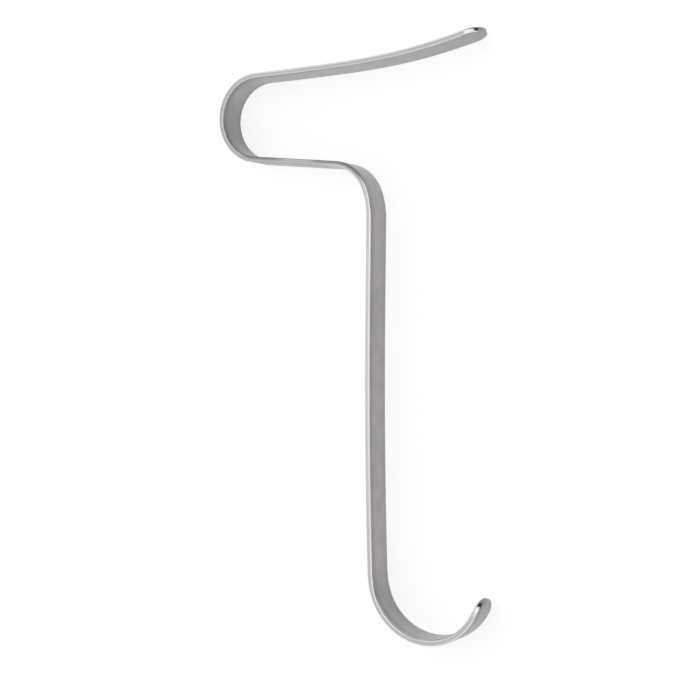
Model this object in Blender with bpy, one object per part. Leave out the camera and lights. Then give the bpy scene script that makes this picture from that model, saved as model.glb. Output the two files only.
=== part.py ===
"""Flap retractor: one strip of spring steel with round ends, bent in one plane.

Metres, +Z up. The strip stands on its lower long edge, so that its bends lie in
the XY plane and its width rises along Z. The shank runs along Y, the blade is at
+Y, and the blade and the finger hook both open towards +X. The origin is on the
table, at the middle of the part's footprint.
"""
import math

import bmesh
import bpy
from mathutils import Matrix, Vector

MM = 0.001

# Strip stock
STRIP_WIDTH = 10.0 * MM
STRIP_THICKNESS = 1.8 * MM
EDGE_ROUNDING = 0.55 * MM

# Bends, in the order from the tip of the blade to the tip of the hook. Lengths and
# radii are measured at the middle of the thickness. Angles are in degrees, and a
# bend to the left, seen from above, is positive.
BLADE_TIP_RADIUS = 195.5 * MM
BLADE_TIP_ANGLE = -10.2
BLADE_RADIUS = 281.0 * MM
BLADE_ANGLE = -2.9
BLADE_ROOT_RADIUS = 1172.0 * MM
BLADE_ROOT_ANGLE = -1.4
CLIP_LEAD_RADIUS = 15.7 * MM
CLIP_LEAD_ANGLE = 16.8
CLIP_UPPER_RADIUS = 12.5 * MM
CLIP_UPPER_ANGLE = 81.4
CLIP_LOWER_RADIUS = 14.0 * MM
CLIP_LOWER_ANGLE = 75.7
STEP_LENGTH = 30.1 * MM
CORNER_RADIUS = 12.9 * MM
CORNER_ANGLE = -63.9
CORNER_RELIEF_RADIUS = 23.6 * MM
CORNER_RELIEF_ANGLE = -20.3
SHANK_LENGTH = 29.4 * MM
SHANK_BOW_RADIUS = 1850.0 * MM
SHANK_BOW_ANGLE = 2.4
HOOK_LEAD_RADIUS = 27.9 * MM
HOOK_LEAD_ANGLE = 8.8
HOOK_BOWL_RADIUS = 18.3 * MM
HOOK_BOWL_ANGLE = 98.7
HOOK_TIP_RADIUS = 17.8 * MM
HOOK_TIP_ANGLE = 58.5

# Fineness of the facets
FACET_ANGLE = 5.0
FACET_LENGTH = 8.0 * MM
END_FACETS = 14
ROUNDING_STEPS = 2
WELD_DISTANCE = 0.001 * MM

STEEL_COLOUR = (0.40, 0.39, 0.40, 1.0)
STEEL_ROUGHNESS = 0.32


def arc(radius, degrees):
    """A bend, as its length along the strip and the angle that it turns."""
    angle = math.radians(degrees)
    return radius * abs(angle), angle


def straight(length):
    """A stretch of strip that isn't bent."""
    return length, 0.0


SHANK_BOW = arc(SHANK_BOW_RADIUS, SHANK_BOW_ANGLE)
ABOVE_SHANK_BOW = [
    arc(BLADE_TIP_RADIUS, BLADE_TIP_ANGLE),
    arc(BLADE_RADIUS, BLADE_ANGLE),
    arc(BLADE_ROOT_RADIUS, BLADE_ROOT_ANGLE),
    arc(CLIP_LEAD_RADIUS, CLIP_LEAD_ANGLE),
    arc(CLIP_UPPER_RADIUS, CLIP_UPPER_ANGLE),
    arc(CLIP_LOWER_RADIUS, CLIP_LOWER_ANGLE),
    straight(STEP_LENGTH),
    arc(CORNER_RADIUS, CORNER_ANGLE),
    arc(CORNER_RELIEF_RADIUS, CORNER_RELIEF_ANGLE),
    straight(SHANK_LENGTH),
]
HOOK = [
    arc(HOOK_LEAD_RADIUS, HOOK_LEAD_ANGLE),
    arc(HOOK_BOWL_RADIUS, HOOK_BOWL_ANGLE),
    arc(HOOK_TIP_RADIUS, HOOK_TIP_ANGLE),
]
BENDS = ABOVE_SHANK_BOW + [SHANK_BOW] + HOOK
STRIP_LENGTH = sum(length for length, angle in BENDS)

# The middle of the shank's bow points straight down, along -Y
FIRST_HEADING = -math.pi / 2 - sum(angle for length, angle in ABOVE_SHANK_BOW) - SHANK_BOW[1] / 2


def bend_stations():
    """Walk the bends and return (distance, x, y) for each cross line of the strip."""
    x, y, heading, distance = 0.0, 0.0, FIRST_HEADING, 0.0
    stations = [(distance, x, y)]
    for length, angle in BENDS:
        steps = math.ceil(max(abs(math.degrees(angle)) / FACET_ANGLE, length / FACET_LENGTH))
        for _ in range(steps):
            # the chord of a short arc points halfway between its two headings
            half = angle / steps / 2
            chord = length / steps * (math.sin(half) / half if half else 1.0)
            x += chord * math.cos(heading + half)
            y += chord * math.sin(heading + half)
            heading += 2 * half
            distance += length / steps
            stations.append((distance, x, y))
    return stations


def clear_scene():
    for old in list(bpy.data.objects):
        bpy.data.objects.remove(old, do_unlink=True)


def new_collection(name):
    collection = bpy.data.collections.new(name)
    bpy.context.scene.collection.children.link(collection)
    return collection


def steel_material():
    material = bpy.data.materials.new("satin_steel")
    material.use_nodes = True
    shader = material.node_tree.nodes["Principled BSDF"]
    shader.inputs["Base Color"].default_value = STEEL_COLOUR
    shader.inputs["Metallic"].default_value = 1.0
    shader.inputs["Roughness"].default_value = STEEL_ROUGHNESS
    return material


def blank_outline():
    """The flat blank's outline: two straight edges and a half circle at each end."""
    radius = STRIP_WIDTH / 2
    points = []
    for centre, first_angle in ((radius, math.pi / 2), (STRIP_LENGTH - radius, -math.pi / 2)):
        for i in range(END_FACETS + 1):
            angle = first_angle + math.pi * i / END_FACETS
            points.append((centre + radius * math.cos(angle), radius * math.sin(angle)))
    return points


def add_poly_spline(curve, points, cyclic):
    spline = curve.splines.new("POLY")
    spline.points.add(len(points) - 1)
    for point, (x, y) in zip(spline.points, points):
        point.co = (x, y, 0.0, 1.0)
    spline.use_cyclic_u = cyclic


def flat_blank(collection):
    """The strip before it is bent: its length along X, its width along Z, edges rounded."""
    rounding = min(EDGE_ROUNDING, 0.45 * STRIP_THICKNESS)
    outline = bpy.data.curves.new("blank_outline", "CURVE")
    outline.dimensions = "2D"
    outline.fill_mode = "BOTH"
    outline.extrude = STRIP_THICKNESS / 2 - rounding
    outline.bevel_depth = rounding
    outline.bevel_resolution = ROUNDING_STEPS
    outline.offset = -rounding
    add_poly_spline(outline, blank_outline(), cyclic=True)
    sketch = bpy.data.objects.new("blank_sketch", outline)
    collection.objects.link(sketch)
    evaluated = sketch.evaluated_get(bpy.context.evaluated_depsgraph_get())
    mesh = bpy.data.meshes.new_from_object(evaluated)
    bpy.data.objects.remove(sketch, do_unlink=True)

    cuts = bmesh.new()
    cuts.from_mesh(mesh)
    bmesh.ops.remove_doubles(cuts, verts=cuts.verts, dist=WELD_DISTANCE)
    bmesh.ops.dissolve_limit(cuts, angle_limit=math.radians(1.0), verts=cuts.verts, edges=cuts.edges)
    bmesh.ops.rotate(cuts, verts=cuts.verts, cent=(0, 0, 0), matrix=Matrix.Rotation(math.pi / 2, 3, "X"))
    bmesh.ops.translate(cuts, verts=cuts.verts, vec=(0, 0, STRIP_WIDTH / 2))
    for distance, _, _ in bend_stations()[1:-1]:
        geometry = cuts.verts[:] + cuts.edges[:] + cuts.faces[:]
        bmesh.ops.bisect_plane(
            cuts, geom=geometry, dist=WELD_DISTANCE, plane_co=(distance, 0, 0), plane_no=(1, 0, 0)
        )
    bmesh.ops.recalc_face_normals(cuts, faces=cuts.faces)
    cuts.to_mesh(mesh)
    cuts.free()
    mesh.shade_smooth()
    mesh.set_sharp_from_angle(angle=math.radians(30.0))

    strip = bpy.data.objects.new("retractor_strip", mesh)
    collection.objects.link(strip)
    return strip


def bend_line(collection):
    """The line that the strip is bent along, as a guide."""
    curve = bpy.data.curves.new("bend_line", "CURVE")
    curve.dimensions = "2D"
    add_poly_spline(curve, [(x, y) for _, x, y in bend_stations()], cyclic=False)
    guide = bpy.data.objects.new("bend_line", curve)
    guide.hide_render = True
    guide.display_type = "WIRE"
    collection.objects.link(guide)
    return guide


def bend(strip, guide):
    modifier = strip.modifiers.new("Bends", "CURVE")
    modifier.object = guide
    modifier.deform_axis = "POS_X"


def centre_on_origin(strip, datum):
    """Move the datum so that the bent strip's footprint is centred on the origin."""
    bpy.context.view_layer.update()
    evaluated = strip.evaluated_get(bpy.context.evaluated_depsgraph_get())
    corners = [evaluated.matrix_world @ Vector(corner) for corner in evaluated.bound_box]
    low = Vector(min(corner[i] for corner in corners) for i in range(3))
    high = Vector(max(corner[i] for corner in corners) for i in range(3))
    middle = (low + high) / 2
    datum.location = (-middle.x, -middle.y, -low.z)


def build():
    clear_scene()
    parts = new_collection("flap_retractor")
    guides = new_collection("guides")
    datum = bpy.data.objects.new("datum", None)
    parts.objects.link(datum)
    strip = flat_blank(parts)
    strip.data.materials.append(steel_material())
    guide = bend_line(guides)
    for item in (strip, guide):
        item.parent = datum
    bend(strip, guide)
    centre_on_origin(strip, datum)


build()
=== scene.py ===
"""A flap retractor in satin steel: its finished strip, the studio round it and the camera."""

import math

import bmesh
import bpy
import numpy as np
from bpy.props import FloatProperty, FloatVectorProperty, PointerProperty
from bpy.types import Operator, Panel, PropertyGroup
from mathutils import Matrix, Vector


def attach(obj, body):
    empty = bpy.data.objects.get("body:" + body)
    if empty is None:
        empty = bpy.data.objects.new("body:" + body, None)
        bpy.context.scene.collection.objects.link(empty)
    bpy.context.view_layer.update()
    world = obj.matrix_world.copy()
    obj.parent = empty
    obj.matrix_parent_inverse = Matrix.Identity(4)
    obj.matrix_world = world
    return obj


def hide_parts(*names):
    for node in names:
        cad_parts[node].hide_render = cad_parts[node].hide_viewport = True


bl_info = {
    "name": "Flap Retractor",
    "version": (1, 0, 0),
    "blender": (4, 5, 0),
    "location": "3D View > Sidebar > Retractor",
    "description": "Finished steel strip, studio and camera for a bent flap retractor",
    "category": "Add Mesh",
}

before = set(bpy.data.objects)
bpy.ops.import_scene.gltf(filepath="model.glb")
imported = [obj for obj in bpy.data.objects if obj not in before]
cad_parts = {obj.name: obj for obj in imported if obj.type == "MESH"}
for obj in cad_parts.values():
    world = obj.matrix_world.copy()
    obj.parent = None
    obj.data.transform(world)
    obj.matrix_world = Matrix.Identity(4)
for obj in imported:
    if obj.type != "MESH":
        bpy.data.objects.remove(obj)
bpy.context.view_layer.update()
STRIP_NODE = "retractor_strip"
MM = 0.001

# The strip's bends, in the order from the blade's tip to the hook's tip
BENDS = (
    "blade_tip", "blade", "blade_root", "clip_lead", "clip_upper", "clip_lower", "step",
    "corner", "corner_relief", "shank", "shank_bow", "hook_lead", "hook_bowl", "hook_tip",
)
STRAIGHTS = ("step", "shank")
UPRIGHT_BEND = "shank_bow"

# Fineness of the finished strip. FACE_ROWS are shares of the way in to a face's middle.
STATION_SPACING = 0.6 * MM
END_POINTS = 48
ROUNDING_POINTS = 9
FACE_ROWS = (1.0, 0.7, 0.4, 0.2)

# The finished surface lies this far inside the solid that it stands for
SKIN_EASE = 0.02 * MM
WELD_DISTANCE = 0.002 * MM

# Painted shade darkens the broad faces in the clip bend; the outer face takes only a share
# of it. From the clip's lead to the corner the edges are rougher and painted darker.
CLIP_FADE = 18.0 * MM
CLIP_SHIFT = 5.5 * MM
EDGE_FADE = 10.0 * MM
OUTSIDE_PAINTED_SHADE = 0.2

# Painted shade makes the rounded corner that faces the flap's gap darkest where the step meets a bend.
# It starts in the first GAP_OFF_FACE of the turn off the face, and is gone GAP_REACH
# roundings below the face, after a soft end of GAP_SOFTNESS roundings.
GAP_BEFORE_STEP = 7.0 * MM
GAP_INTO_STEP = 13.0 * MM
GAP_BEFORE_CORNER = 11.0 * MM
GAP_FADE = 6.0 * MM
GAP_REACH = 1.4
GAP_SOFTNESS = 0.4
GAP_OFF_FACE = 0.125

# Painted shade darkens the start of the hook a little on both faces
HOOK_BEFORE = 2.0 * MM
HOOK_AFTER = 18.0 * MM
HOOK_FADE = 9.0 * MM
HOOK_PAINTED_SHADE = 0.55

# Painted shade darkens the blade's faces a little towards its tip
BLADE_FADE = 50.0 * MM
BLADE_PAINTED_SHADE = 0.3

# Painted shade darkens the broad faces beside their upper edges, less so beside their lower
# ones, and not on the blade
RIM_WIDTH = 3.0 * MM
RIM_BELOW = 0.35
RIM_ALONG = (50.0 * MM, 80.0 * MM)

# The noses of both ends are only brushed: cosines of the turn from the strip's line
NOSE_START = 0.77
NOSE_FULL = 0.86

# Towards both ends the brushed face reaches further round the edge, by a share of its turn
TIP_REACH = 8.0 * MM
TIP_BITE = 0.42

# The polish spills over from the edges onto the faces in the corner and in the hook's bowl,
# by these shares of the edge's rounding
SPILL_CORNER = 0.22
SPILL_BOWL = 0.45
SPILL_FADE = 8.0 * MM

# Brushing. POLISH_TURN is how far round the edge the brushing gives way to polish. The noise
# is drawn out along the strip: its scales are along it, through it and across it.
POLISH_TURN = (0.28, 0.42)
HAIR_SCALE = (240.0, 2500.0, 4200.0)
HAIR_DETAIL = 3.0
HAIR_SHARE = 0.58
CLOUD_SCALE = (210.0, 300.0, 260.0)
CLOUD_DETAIL = 2.0
STREAK_RANGE = (0.3, 0.7)
STREAK_DARK = 0.84
STREAK_LIGHT = 1.16
STREAK_ROUGHNESS = 0.05
BRUSHING_STRENGTH = 0.25
BRUSHING_DEPTH = 0.02 * MM

# Camera, floor and lamp
CAMERA_TARGET = (-3.61 * MM, -2.98 * MM, 0.0)
CAMERA_NEAR = 0.01
SENSOR_WIDTH = 36.0
FLOOR_SIDE = 6.0
WHITE = (1.0, 1.0, 1.0, 1.0)
SOFTBOX_PLACE = (0.08, 0.28, 0.75)
SOFTBOX_SIDE = 0.6

# Surroundings, by the direction that a ray leaves in. Each pair is where a soft edge starts
# and where it is full: the flag's side, the roof's height, and the gap's and the bright
# side's places along X and Y.
LIT_SIDE = (-0.92, 0.39, 0.0)
LIT_SPREAD = 0.8
FLAG_SIDE = (0.5, 0.866, 0.0)
FLAG_EDGE = (0.52, 0.72)
FLAG_TOP = 0.46
FLAG_SOFTNESS = 0.14
ROOF_HEIGHT = (0.72, 0.84)
GAP_ALONG_Y = (0.1, 0.16)
BRIGHT_ALONG_X = (-0.5, 0.05)
BRIGHT_ALONG_Y = (0.3, 0.6)


def length_property(name, description, millimetres):
    """A length that the user can change, given here in millimetres."""
    return FloatProperty(
        name=name, description=description, default=millimetres * MM, unit="LENGTH", precision=5,
    )


def angle_property(name, description, degrees):
    """An angle that the user can change, given here in degrees."""
    return FloatProperty(
        name=name, description=description, default=math.radians(degrees), subtype="ANGLE",
    )


def share_property(name, description, share):
    """A share from 0 to 1 that the user can change."""
    return FloatProperty(name=name, description=description, default=share, min=0.0, max=1.0)


def level_property(name, description, level):
    """A level of light that the user can change, 0 or more."""
    return FloatProperty(name=name, description=description, default=level, min=0.0)


def colour_property(name, description, colour):
    """A colour that the user can change."""
    return FloatVectorProperty(name=name, description=description, subtype="COLOR", default=colour)


class RetractorStrip(PropertyGroup):
    """Sizes of the strip and of its bends, in the order from the blade's tip to the hook's tip."""

    width: length_property("Width", "Width of the strip", 10.0)
    thickness: length_property("Thickness", "Thickness of the strip", 1.8)
    rounding: length_property("Edge rounding", "Radius of the rounded long edges", 0.55)
    blade_tip_radius: length_property("Blade tip radius", "Bend radius at the blade's tip", 195.5)
    blade_tip_angle: angle_property("Blade tip angle", "Angle turned at the blade's tip", -10.2)
    blade_radius: length_property("Blade radius", "Bend radius of the blade's middle", 281.0)
    blade_angle: angle_property("Blade angle", "Angle turned in the blade's middle", -2.9)
    blade_root_radius: length_property("Blade root radius", "Bend radius of the blade's root", 1172.0)
    blade_root_angle: angle_property("Blade root angle", "Angle turned at the blade's root", -1.4)
    clip_lead_radius: length_property("Clip lead radius", "Radius where the clip bend begins", 15.7)
    clip_lead_angle: angle_property("Clip lead angle", "Angle where the clip bend begins", 16.8)
    clip_upper_radius: length_property("Clip upper radius", "Radius of the clip bend's upper part", 12.5)
    clip_upper_angle: angle_property("Clip upper angle", "Angle of the clip bend's upper part", 81.4)
    clip_lower_radius: length_property("Clip lower radius", "Radius of the clip bend's lower part", 14.0)
    clip_lower_angle: angle_property("Clip lower angle", "Angle of the clip bend's lower part", 75.7)
    step_length: length_property("Step length", "Straight step between the clip bend and the corner", 30.1)
    corner_radius: length_property("Corner radius", "Radius of the corner above the shank", 12.9)
    corner_angle: angle_property("Corner angle", "Angle of the corner above the shank", -63.9)
    corner_relief_radius: length_property("Corner relief radius", "Radius where the corner eases out", 23.6)
    corner_relief_angle: angle_property("Corner relief angle", "Angle where the corner eases out", -20.3)
    shank_length: length_property("Shank length", "Straight top of the shank", 29.4)
    shank_bow_radius: length_property("Shank bow radius", "Radius of the shank's slight bow", 1850.0)
    shank_bow_angle: angle_property("Shank bow angle", "Angle of the shank's slight bow", 2.4)
    hook_lead_radius: length_property("Hook lead radius", "Radius where the hook begins", 27.9)
    hook_lead_angle: angle_property("Hook lead angle", "Angle where the hook begins", 8.8)
    hook_bowl_radius: length_property("Hook bowl radius", "Radius of the hook's bowl", 18.3)
    hook_bowl_angle: angle_property("Hook bowl angle", "Angle of the hook's bowl", 98.7)
    hook_tip_radius: length_property("Hook tip radius", "Radius of the hook's tip", 17.8)
    hook_tip_angle: angle_property("Hook tip angle", "Angle of the hook's tip", 58.5)


class RetractorFinish(PropertyGroup):
    """Colours and gloss of the steel."""

    satin_colour: colour_property("Satin colour", "Colour of the brushed broad faces", (0.354, 0.342, 0.348))
    polished_colour: colour_property("Polished colour", "Colour of the polished edges", (0.55, 0.535, 0.54))
    satin_roughness: share_property("Satin roughness", "Roughness of the brushed broad faces", 0.34)
    polished_roughness: share_property("Polished roughness", "Roughness of the polished edges", 0.15)
    dull_roughness: share_property("Dull roughness", "Roughness of the edges where they stay dull", 0.5)
    rim_shade: share_property("Rim shade", "How much darker the faces are beside their edges", 0.22)
    # painted shade on the faces in the clip bend, the hook and towards the blade's tip
    painted_face_shade: share_property("Dull shade", "How much darker the faces are where they are dulled", 0.215)
    # painted shade on the rougher edges from the clip to the corner
    edge_painted_shade: share_property("Edge shade", "How much darker the edges are where they stay dull", 0.18)
    gap_shade: share_property("Gap shade", "How much darker the corner that faces the gap is", 0.45)


class RetractorStudio(PropertyGroup):
    """The camera, the lamp, the floor and the surroundings."""

    camera_distance: length_property("Camera distance", "From the camera to the part", 424.9)
    camera_yaw: angle_property("Camera yaw", "Turn of the camera round the shank", 30.75)
    camera_pitch: angle_property("Camera pitch", "Tilt of the camera towards the blade", 0.11)
    camera_roll: angle_property("Camera roll", "Turn of the camera about its own axis", -0.48)
    lens: FloatProperty(name="Lens", description="Focal length in millimetres", default=70.24, min=1.0)
    floor_colour: colour_property("Floor colour", "Colour of the floor", (0.86, 0.86, 0.86))
    floor_lift: level_property("Floor lift", "Light added to the floor as it is seen", 0.68)
    softbox_power: level_property("Softbox", "Power of the lamp overhead, in watts", 0.35)
    ambient_lit: level_property("Ambient, lit side", "Light from the lit side", 0.57)
    ambient_shade: level_property("Ambient, far side", "Light from the other side", 0.15)
    tent_level: level_property("Tent", "White of the tent in reflections", 1.12)
    tent_gap: level_property("Tent gap", "White of the gap in the tent's roof", 0.87)
    tent_side: level_property("Tent side", "White of the tent's brighter side", 1.4)
    flag_level: level_property("Flag", "Level of the dark flag in reflections", 0.05)


def bends(strip):
    """Length and turning angle of each bend: an arc is its radius times its angle long."""
    lengths, angles = [], []
    for name in BENDS:
        if name in STRAIGHTS:
            lengths.append(getattr(strip, name + "_length"))
            angles.append(0.0)
        else:
            angle = getattr(strip, name + "_angle")
            lengths.append(getattr(strip, name + "_radius") * abs(angle))
            angles.append(angle)
    return np.array(lengths), np.array(angles)


def walk(lengths, angles, distances):
    """Points and headings of the bend line at the given distances along it.

    Within a bend of curvature k, entered at heading h, a point at distance u lies on
    the chord of length u * sin(k u / 2) / (k u / 2), whose heading is h + k u / 2.
    """
    upright = BENDS.index(UPRIGHT_BEND)
    first_heading = -math.pi / 2 - angles[:upright].sum() - angles[upright] / 2
    starts = np.concatenate([[0.0], np.cumsum(lengths)])
    headings = first_heading + np.concatenate([[0.0], np.cumsum(angles)])
    curvatures = angles / lengths

    def chord(u, curvature, heading):
        size = u * np.sinc(curvature * u / 2 / math.pi)
        middle = heading + curvature * u / 2
        return np.stack([size * np.cos(middle), size * np.sin(middle)], axis=-1)

    chords = chord(lengths, curvatures, headings[:-1])
    corners = np.concatenate([[(0.0, 0.0)], np.cumsum(chords, axis=0)])
    index = np.clip(np.searchsorted(starts, distances, side="right") - 1, 0, len(lengths) - 1)
    into = distances - starts[index]
    points = corners[index] + chord(into, curvatures[index], headings[index])
    return points, headings[index] + curvatures[index] * into


def blank_outline(length, radius):
    """The flat strip's outline, once round it, as points and the directions inward from them.

    Two straight edges are joined by half circles of the given radius, whose centres
    lie that radius in from each end.
    """
    count = max(2, round((length - 2 * radius) / STATION_SPACING))
    stations = np.linspace(radius, length - radius, count)
    turn = np.linspace(0.0, math.pi, END_POINTS + 1)[1:-1]
    top = np.stack([stations[::-1], np.full(count, radius)], axis=1)
    bottom = np.stack([stations, np.full(count, -radius)], axis=1)
    first_end = np.stack([radius - radius * np.sin(turn), radius * np.cos(turn)], axis=1)
    last_end = np.stack([length - radius + radius * np.sin(turn), -radius * np.cos(turn)], axis=1)
    outline = np.concatenate([top, first_end, bottom, last_end])
    axis = np.stack([np.clip(outline[:, 0], radius, length - radius), np.zeros(len(outline))], axis=1)
    return outline, (axis - outline) / radius


def edge_profile(radius, thickness, rounding):
    """The strip's section from the middle of one broad face, round its edge, to the other.

    Each row is a distance in from the outline, a height across the thickness and how
    far the surface has turned, from 0 where it leaves the broad face to 1 on the edge.
    On the face itself it falls below 0 by 1 for each rounding r further in. The corner
    is a quarter circle: r (1 - sin a) in from the outline, at height T / 2 - r (1 - cos a).
    """
    a = np.linspace(0.0, math.pi / 2, ROUNDING_POINTS)
    inner = (radius - rounding) * np.array(FACE_ROWS)
    face = np.stack([rounding + inner, np.full(len(inner), thickness / 2), -inner / rounding], axis=1)
    corner = np.stack([
        rounding * (1 - np.sin(a)),
        thickness / 2 - rounding * (1 - np.cos(a)),
        a / (math.pi / 2),
    ], axis=1)
    half = np.concatenate([face, corner])
    other = half[::-1] * (1.0, -1.0, 1.0)
    return np.concatenate([half, other])


def smooth_step(value):
    """A smooth rise from 0 to 1 as the value goes from 0 to 1, v v (3 - 2 v), held at both ends."""
    value = np.clip(value, 0.0, 1.0)
    return value * value * (3 - 2 * value)


def within(along, first, last, fade):
    """1 between two distances along the strip, with a smooth step of length fade inside each end."""
    return smooth_step(np.minimum(along - first, last - along) / fade)


def painted_shade_on_faces(sizes, starts, along, depth):
    """How much painted shade darkens the broad faces: in the clip bend, in the hook and towards the blade's
    tip.
    """
    facing = np.clip(1 + 2 * depth / sizes.thickness, OUTSIDE_PAINTED_SHADE, 1.0)
    clip_from, clip_to = starts["clip_upper"] + CLIP_SHIFT, starts["step"] + CLIP_SHIFT
    in_clip = facing * within(along, clip_from, clip_to, CLIP_FADE)
    hook_from, hook_to = starts["hook_lead"] - HOOK_BEFORE, starts["hook_bowl"] + HOOK_AFTER
    in_hook = within(along, hook_from, hook_to, HOOK_FADE)
    to_tip = smooth_step(1 - along / BLADE_FADE)
    return np.maximum(in_clip, HOOK_PAINTED_SHADE * in_hook) + BLADE_PAINTED_SHADE * to_tip


def painted_gap_shade(sizes, starts, along, depth, on_edge):
    """Where painted shade darkens the rounded corner that faces the flap's gap: beside both ends of the
    step.
    """
    below_face = sizes.thickness / 2 - depth
    near_face = (GAP_REACH * sizes.rounding - below_face) / (GAP_SOFTNESS * sizes.rounding)
    beside_step = np.maximum(
        within(along, starts["step"] - GAP_BEFORE_STEP, starts["step"] + GAP_INTO_STEP, GAP_FADE),
        within(along, starts["corner"] - GAP_BEFORE_CORNER, starts["corner_relief"], GAP_FADE),
    )
    return smooth_step(near_face) * smooth_step(on_edge / GAP_OFF_FACE) * beside_step


def spilt_polish(starts, along):
    """How far the polish spills over onto the faces, in roundings of the edge."""
    in_corner = within(along, starts["corner"] - SPILL_FADE / 2, starts["shank"], SPILL_FADE)
    in_bowl = within(along, starts["hook_bowl"], starts["hook_tip"], SPILL_FADE)
    return SPILL_CORNER * in_corner + SPILL_BOWL * in_bowl


def make_strip(sizes):
    """The finished strip: its section carried round the flat outline, then bent along the bend line.

    A point of the flat strip at (x, y, z), x along it, y through its thickness and z
    across its width, goes to p(x) + y n(x) in plan, with n the line's left normal.
    """
    lengths, angles = bends(sizes)
    radius = sizes.width / 2
    outline, inward = blank_outline(lengths.sum(), radius)
    rows = edge_profile(radius - SKIN_EASE, sizes.thickness - 2 * SKIN_EASE, sizes.rounding)
    reach = rows[:, :1] + SKIN_EASE
    along = outline[None, :, 0] + reach * inward[None, :, 0]
    across = outline[None, :, 1] + reach * inward[None, :, 1]
    depth = np.repeat(rows[:, 1:2], len(outline), axis=1)
    on_edge = rows[:, 2:]

    points, headings = walk(lengths, angles, along)
    plan = points + depth[..., None] * np.stack([-np.sin(headings), np.cos(headings)], axis=-1)
    verts = np.concatenate([plan, across[..., None] + radius], axis=-1).reshape(-1, 3)
    low, high = verts.min(axis=0), verts.max(axis=0)
    verts[:, :2] -= (low[:2] + high[:2]) / 2

    count = len(outline)
    ring = np.arange(count)
    first_in_row = np.arange(len(rows) - 1)[:, None] * count
    near = (first_in_row + ring).ravel()
    next_in_ring = (first_in_row + np.roll(ring, -1)).ravel()
    quads = np.stack([near, near + count, next_in_ring + count, next_in_ring], axis=1)
    mesh = mesh_from_quads("finished_strip", verts, quads)

    starts = dict(zip(BENDS, np.concatenate([[0.0], np.cumsum(lengths)])))
    nose = smooth_step((np.abs(inward[:, 0]) - NOSE_START) / (NOSE_FULL - NOSE_START))
    from_end = np.minimum(along, lengths.sum() - along)
    turned = on_edge * (1 - nose) * (1 - TIP_BITE * smooth_step(2 - 2 * from_end / TIP_REACH))
    inset = np.broadcast_to(np.maximum(reach - sizes.rounding, 0.0), depth.shape)
    # painted shade on the broad faces: clip bend, hook and blade's tip
    faces = painted_shade_on_faces(sizes, starts, along, depth)
    gap_corner = painted_gap_shade(sizes, starts, along, depth, on_edge)
    # from the clip's lead to the corner the edges are rougher and painted darker
    edges = within(along, starts["clip_lead"], starts["corner"], EDGE_FADE)
    add_vectors(mesh, "strip_place", along, depth, across)
    add_vectors(mesh, "edge_finish", turned, inset, spilt_polish(starts, along))
    add_vectors(mesh, "dull_and_painted_shade", faces, gap_corner, edges)
    close_seams(mesh)
    return mesh


def mesh_from_quads(name, verts, quads):
    """A mesh of the given corners and four-cornered faces, shaded smooth."""
    mesh = bpy.data.meshes.new(name)
    mesh.vertices.add(len(verts))
    mesh.vertices.foreach_set("co", verts.astype(np.float32).ravel())
    mesh.loops.add(quads.size)
    mesh.loops.foreach_set("vertex_index", quads.astype(np.int32).ravel())
    mesh.polygons.add(len(quads))
    mesh.polygons.foreach_set("loop_start", np.arange(0, quads.size, 4, dtype=np.int32))
    mesh.update(calc_edges=True)
    mesh.validate()
    mesh.shade_smooth()
    return mesh


def add_vectors(mesh, name, *parts):
    """Store three values for each point of the mesh, as one vector."""
    attribute = mesh.attributes.new(name, "FLOAT_VECTOR", "POINT")
    attribute.data.foreach_set("vector", np.stack(parts, axis=-1).astype(np.float32).ravel())


def close_seams(mesh):
    """Weld the points that meet on the middle line of each broad face and at its two poles."""
    surface = bmesh.new()
    surface.from_mesh(mesh)
    bmesh.ops.remove_doubles(surface, verts=surface.verts, dist=WELD_DISTANCE)
    bmesh.ops.recalc_face_normals(surface, faces=surface.faces)
    surface.to_mesh(mesh)
    surface.free()


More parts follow.
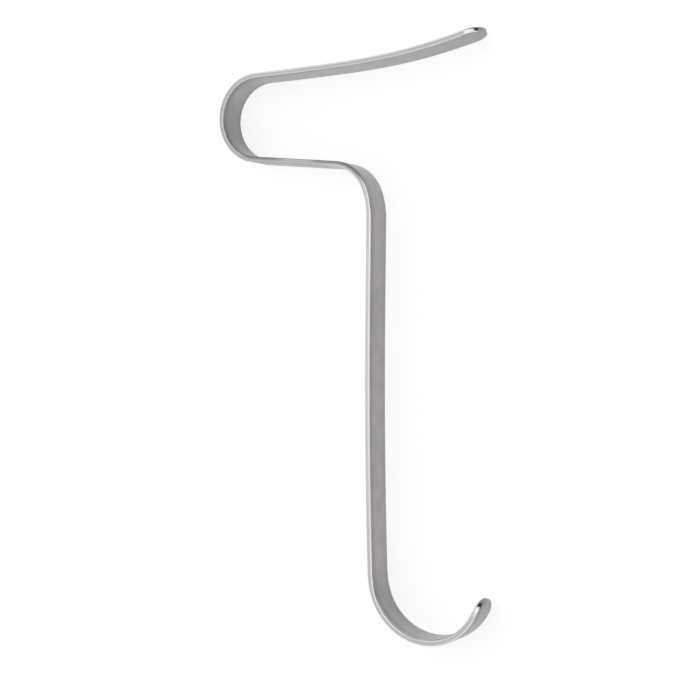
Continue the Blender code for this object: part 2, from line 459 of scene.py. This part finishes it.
class NodeBuilder:
    """Short calls for a material's or a world's nodes."""

    def __init__(self, tree):
        self.nodes = tree.nodes
        self.links = tree.links
        self.nodes.clear()

    def add(self, kind, inputs=None, **settings):
        """Add a node, set its fields, and give each named input a value or a link."""
        node = self.nodes.new(kind)
        for name, value in settings.items():
            setattr(node, name, value)
        for name, value in (inputs or {}).items():
            if isinstance(value, bpy.types.NodeSocket):
                self.links.new(value, node.inputs[name])
            else:
                node.inputs[name].default_value = value
        return node

    def attribute(self, name):
        """A vector that the mesh holds at each point."""
        return self.add("ShaderNodeAttribute", attribute_name=name).outputs["Vector"]

    def split(self, vector):
        """The three values of a vector."""
        return self.add("ShaderNodeSeparateXYZ", {0: vector}).outputs

    def math(self, operation, first, second=0.0):
        """One operation on two values."""
        return self.add("ShaderNodeMath", {0: first, 1: second}, operation=operation).outputs[0]

    def dot(self, vector, direction):
        """How far a vector points in a direction."""
        inputs = {0: vector, 1: direction}
        return self.add("ShaderNodeVectorMath", inputs, operation="DOT_PRODUCT").outputs["Value"]

    def ramp(self, value, low, high, out_low, out_high, smooth=False):
        """Map a value from one range to another, held at both ends."""
        return self.add(
            "ShaderNodeMapRange",
            {"Value": value, "From Min": low, "From Max": high, "To Min": out_low, "To Max": out_high},
            interpolation_type="SMOOTHSTEP" if smooth else "LINEAR",
        ).outputs[0]

    def rise(self, value, low, high):
        """A smooth rise from 0 at a low value to 1 at a high one."""
        return self.ramp(value, low, high, 0.0, 1.0, smooth=True)

    def noise(self, place, scale, detail):
        """Noise from 0 to 1, with its own fineness along each axis."""
        stretched = self.add("ShaderNodeMapping", {"Vector": place, "Scale": scale}, vector_type="POINT")
        inputs = {"Vector": stretched.outputs[0], "Scale": 1.0, "Detail": detail}
        return self.add("ShaderNodeTexNoise", inputs).outputs["Fac"]

    def mix_value(self, factor, first, second):
        """From the first value to the second as the factor goes from 0 to 1."""
        return self.add("ShaderNodeMix", {0: factor, 2: first, 3: second}, data_type="FLOAT").outputs[0]

    def mix_colour(self, factor, first, second):
        """From the first colour to the second as the factor goes from 0 to 1."""
        return self.add("ShaderNodeMix", {0: factor, 6: first, 7: second}, data_type="RGBA").outputs[2]

    def mix_shader(self, factor, first, second):
        """From the first shader to the second as the factor goes from 0 to 1."""
        return self.add("ShaderNodeMixShader", {0: factor, 1: first, 2: second}).outputs[0]

    def background(self, strength):
        """White surroundings of the given strength."""
        return self.add("ShaderNodeBackground", {"Color": WHITE, "Strength": strength}).outputs[0]

    def open_view(self, rays):
        """1 for rays that show a surface to the eye straight or through glass."""
        return self.math("MAXIMUM", rays.outputs["Is Camera Ray"], rays.outputs["Is Transmission Ray"])

    def seen(self):
        """1 for rays that show a surface to the eye straight, through glass or in a reflection."""
        rays = self.add("ShaderNodeLightPath")
        return self.math("MAXIMUM", self.open_view(rays), rays.outputs["Is Glossy Ray"])


def tint(colour, factor):
    """A colour times a factor, no lighter than white, with its alpha."""
    return tuple(min(1.0, factor * channel) for channel in colour) + (1.0,)


def steel_material(finish):
    """Steel brushed along the strip on its broad faces and polished round its edges.

    A face is its colour times a streak of brushing, less the painted shade beside its edges
    and the painted shade in the clip bend, the hook and towards the blade's tip. An edge is
    rougher and painted darker from the clip to the corner, and painted darkest at the corner
    that faces the gap.
    """
    material = bpy.data.materials.new("brushed_and_polished_steel")
    material.use_nodes = True
    build = NodeBuilder(material.node_tree)
    place = build.attribute("strip_place")
    along, _, across = build.split(place)
    turned, inset, spill = build.split(build.attribute("edge_finish"))
    face_painted_shade_mask, gap_corner, edge_dull_and_painted_shade = build.split(build.attribute("dull_and_painted_shade"))
    polished = build.rise(build.math("ADD", turned, spill), *POLISH_TURN)

    # painted shade beside the faces' edges, fuller beside the upper edges than the lower ones
    beside_edge = build.math(
        "MULTIPLY",
        build.ramp(inset, 0.0, RIM_WIDTH, finish.rim_shade, 0.0, smooth=True),
        build.ramp(across, -RIM_WIDTH, RIM_WIDTH, RIM_BELOW, 1.0, smooth=True),
    )
    rim = build.math("MULTIPLY", beside_edge, build.rise(along, *RIM_ALONG))
    # painted shade on the faces in the clip bend, the hook and towards the blade's tip
    dull = build.math("MULTIPLY", face_painted_shade_mask, finish.painted_face_shade)
    shade = build.math("SUBTRACT", 1.0, build.math("ADD", rim, dull))

    # hairlines 10 to 18 times finer through and across the strip than along it, and soft clouds
    hair = build.noise(place, HAIR_SCALE, HAIR_DETAIL)
    cloud = build.noise(place, CLOUD_SCALE, CLOUD_DETAIL)
    streaks = build.math(
        "ADD", build.math("MULTIPLY", hair, HAIR_SHARE), build.math("MULTIPLY", cloud, 1 - HAIR_SHARE),
    )
    face = build.mix_colour(
        build.ramp(streaks, *STREAK_RANGE, 0.0, 1.0),
        tint(finish.satin_colour, STREAK_DARK),
        tint(finish.satin_colour, STREAK_LIGHT),
    )
    shaded = build.add("ShaderNodeVectorMath", {0: face, "Scale": shade}, operation="SCALE").outputs[0]

    # painted shade: the edges are painted darker where they are rougher, from the clip to the corner
    painted_edge_factor = 1 - finish.edge_painted_shade
    darkest = painted_edge_factor * (1 - finish.gap_shade)
    polish = finish.polished_colour
    edge = build.mix_colour(edge_dull_and_painted_shade, tint(polish, 1.0), tint(polish, painted_edge_factor))
    # painted shade: the corner that faces the gap is painted darkest
    edge = build.mix_colour(gap_corner, edge, tint(polish, darkest))

    roughest = finish.satin_roughness + STREAK_ROUGHNESS
    face_roughness = build.ramp(streaks, *STREAK_RANGE, finish.satin_roughness - STREAK_ROUGHNESS, roughest)
    edge_roughness = build.ramp(edge_dull_and_painted_shade, 0.0, 1.0, finish.polished_roughness, finish.dull_roughness)
    grain = build.math("MULTIPLY", hair, build.math("SUBTRACT", 1.0, polished))
    bump = build.add(
        "ShaderNodeBump", {"Height": grain, "Strength": BRUSHING_STRENGTH, "Distance": BRUSHING_DEPTH},
    )
    shader = build.add("ShaderNodeBsdfPrincipled", {
        "Base Color": build.mix_colour(polished, shaded, edge),
        "Metallic": 1.0,
        "Roughness": build.mix_value(polished, face_roughness, edge_roughness),
        "Normal": bump.outputs[0],
    })
    build.add("ShaderNodeOutputMaterial", {"Surface": shader.outputs[0]})
    return material


def floor_material(studio):
    """A pale floor that takes the object's shadow, lifted to white for the eye and for reflections."""
    material = bpy.data.materials.new("pale_floor")
    material.use_nodes = True
    build = NodeBuilder(material.node_tree)
    diffuse = build.add("ShaderNodeBsdfDiffuse", {"Color": tint(studio.floor_colour, 1.0)}).outputs[0]
    lift = build.add("ShaderNodeEmission", {"Color": WHITE, "Strength": studio.floor_lift}).outputs[0]
    lifted = build.add("ShaderNodeAddShader", {0: diffuse, 1: lift}).outputs[0]
    surface = build.mix_shader(build.seen(), diffuse, lifted)
    build.add("ShaderNodeOutputMaterial", {"Surface": surface})
    return material


def studio_world(studio):
    """Light from all round, stronger from the lit side.

    The eye sees plain white. Reflections see a white tent with a brighter side and end, a
    duller gap in its roof, and a dark flag low beyond the blade, each with soft edges.
    """
    world = bpy.data.worlds.new("studio")
    bpy.context.scene.world = world
    world.use_nodes = True
    build = NodeBuilder(world.node_tree)
    direction = build.add("ShaderNodeTexCoord").outputs["Generated"]
    x, y, height = build.split(direction)
    lit_side = build.dot(direction, LIT_SIDE)
    ambient = build.ramp(lit_side, -LIT_SPREAD, LIT_SPREAD, studio.ambient_shade, studio.ambient_lit)

    under_top = build.ramp(height, FLAG_TOP, FLAG_TOP + FLAG_SOFTNESS, 1.0, 0.0, smooth=True)
    flag = build.math("MULTIPLY", under_top, build.rise(build.dot(direction, FLAG_SIDE), *FLAG_EDGE))
    beside_middle = build.rise(build.math("ABSOLUTE", y), *GAP_ALONG_Y)
    gap = build.math("MULTIPLY", beside_middle, build.rise(height, *ROOF_HEIGHT))
    roof = build.ramp(gap, 0.0, 1.0, studio.tent_level, studio.tent_gap)
    bright = build.math("MAXIMUM", build.rise(x, *BRIGHT_ALONG_X), build.rise(y, *BRIGHT_ALONG_Y))
    tent = build.mix_value(bright, roof, studio.tent_side)
    mirrored = build.mix_value(flag, tent, studio.flag_level)

    rays = build.add("ShaderNodeLightPath")
    soft, glossy, white = (build.background(strength) for strength in (ambient, mirrored, 1.0))
    lit = build.mix_shader(rays.outputs["Is Glossy Ray"], soft, glossy)
    surface = build.mix_shader(build.open_view(rays), lit, white)
    build.add("ShaderNodeOutputWorld", {"Surface": surface})


def make_floor(studio):
    """A square floor at the part's resting height: the corners are half its side along X and Y."""
    half = FLOOR_SIDE / 2
    corners = np.array([(-half, -half, 0.0), (half, -half, 0.0), (half, half, 0.0), (-half, half, 0.0)])
    mesh = mesh_from_quads("floor", corners, np.array([[0, 1, 2, 3]]))
    floor = link_object("floor", mesh)
    floor.data.materials.append(floor_material(studio))


def camera_axes(studio):
    """The camera's right, up and backward directions from its yaw, pitch and roll.

    Backward is (sin y cos p, sin p, cos y cos p), right is level with the shank's
    cross direction, and both right and up are then turned by the roll.
    """
    yaw, pitch, roll = studio.camera_yaw, studio.camera_pitch, studio.camera_roll
    backward = Vector((math.sin(yaw) * math.cos(pitch), math.sin(pitch), math.cos(yaw) * math.cos(pitch)))
    right = Vector((0.0, 1.0, 0.0)).cross(backward).normalized()
    up = backward.cross(right)
    turned_right = math.cos(roll) * right + math.sin(roll) * up
    turned_up = math.cos(roll) * up - math.sin(roll) * right
    return turned_right, turned_up, backward


def make_camera(studio):
    """The camera at the photograph's viewing angle, looking at CAMERA_TARGET."""
    right, up, backward = camera_axes(studio)
    data = bpy.data.cameras.new("camera")
    data.lens = studio.lens
    data.sensor_width = SENSOR_WIDTH
    data.clip_start = CAMERA_NEAR
    camera = link_object("camera", data)
    turn = Matrix((right, up, backward)).transposed().to_4x4()
    place = Vector(CAMERA_TARGET) + studio.camera_distance * backward
    camera.matrix_world = Matrix.Translation(place) @ turn
    bpy.context.scene.camera = camera


def make_lamp(name, place, aim, side, power):
    """A square lamp at a place, turned to face its aim."""
    data = bpy.data.lights.new(name, "AREA")
    data.shape = "SQUARE"
    data.size = side
    data.energy = power
    lamp = link_object(name, data)
    lamp.location = place
    lamp.visible_camera = False
    lamp.rotation_euler = (Vector(aim) - Vector(place)).to_track_quat("-Z", "Y").to_euler()


def link_object(name, data):
    """A new object for the data, in the scene's collection."""
    made = bpy.data.objects.new(name, data)
    bpy.context.scene.collection.objects.link(made)
    return made


class RETRACTOR_OT_strip(Operator):
    """Make the finished strip in place of the plain solid"""

    bl_idname = "retractor.strip"
    bl_label = "Finished Strip"

    def execute(self, context):
        strip = link_object("finished_strip", make_strip(context.scene.retractor_strip))
        strip.data.materials.append(steel_material(context.scene.retractor_finish))
        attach(strip, "root")
        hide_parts(STRIP_NODE)
        return {"FINISHED"}


class RETRACTOR_OT_studio(Operator):
    """Make the floor, the lamp, the surroundings and the camera"""

    bl_idname = "retractor.studio"
    bl_label = "Studio"

    def execute(self, context):
        studio = context.scene.retractor_studio
        make_camera(studio)
        make_floor(studio)
        make_lamp("softbox", SOFTBOX_PLACE, (0.0, 0.0, 0.0), SOFTBOX_SIDE, studio.softbox_power)
        studio_world(studio)
        context.scene.view_settings.view_transform = "Standard"
        return {"FINISHED"}


class RETRACTOR_PT_panel(Panel):
    """The retractor's sizes, finishes and studio in the sidebar"""

    bl_label = "Flap Retractor"
    bl_idname = "RETRACTOR_PT_panel"
    bl_space_type = "VIEW_3D"
    bl_region_type = "UI"
    bl_category = "Retractor"

    def draw(self, context):
        scene = context.scene
        for group in (scene.retractor_strip, scene.retractor_finish, scene.retractor_studio):
            box = self.layout.box()
            for name in group.__annotations__:
                box.prop(group, name)
        self.layout.operator(RETRACTOR_OT_strip.bl_idname)
        self.layout.operator(RETRACTOR_OT_studio.bl_idname)


CLASSES = (
    RetractorStrip, RetractorFinish, RetractorStudio,
    RETRACTOR_OT_strip, RETRACTOR_OT_studio, RETRACTOR_PT_panel,
)


def register():
    """Register the classes, and give the scene the three groups of properties."""
    for item in CLASSES:
        bpy.utils.register_class(item)
    bpy.types.Scene.retractor_strip = PointerProperty(type=RetractorStrip)
    bpy.types.Scene.retractor_finish = PointerProperty(type=RetractorFinish)
    bpy.types.Scene.retractor_studio = PointerProperty(type=RetractorStudio)


def unregister():
    """Take back what register gave."""
    del bpy.types.Scene.retractor_studio
    del bpy.types.Scene.retractor_finish
    del bpy.types.Scene.retractor_strip
    for item in reversed(CLASSES):
        bpy.utils.unregister_class(item)


def main():
    """Make the studio and the strip."""
    register()
    bpy.ops.retractor.studio()
    bpy.ops.retractor.strip()


if __name__ == "__main__":
    main()
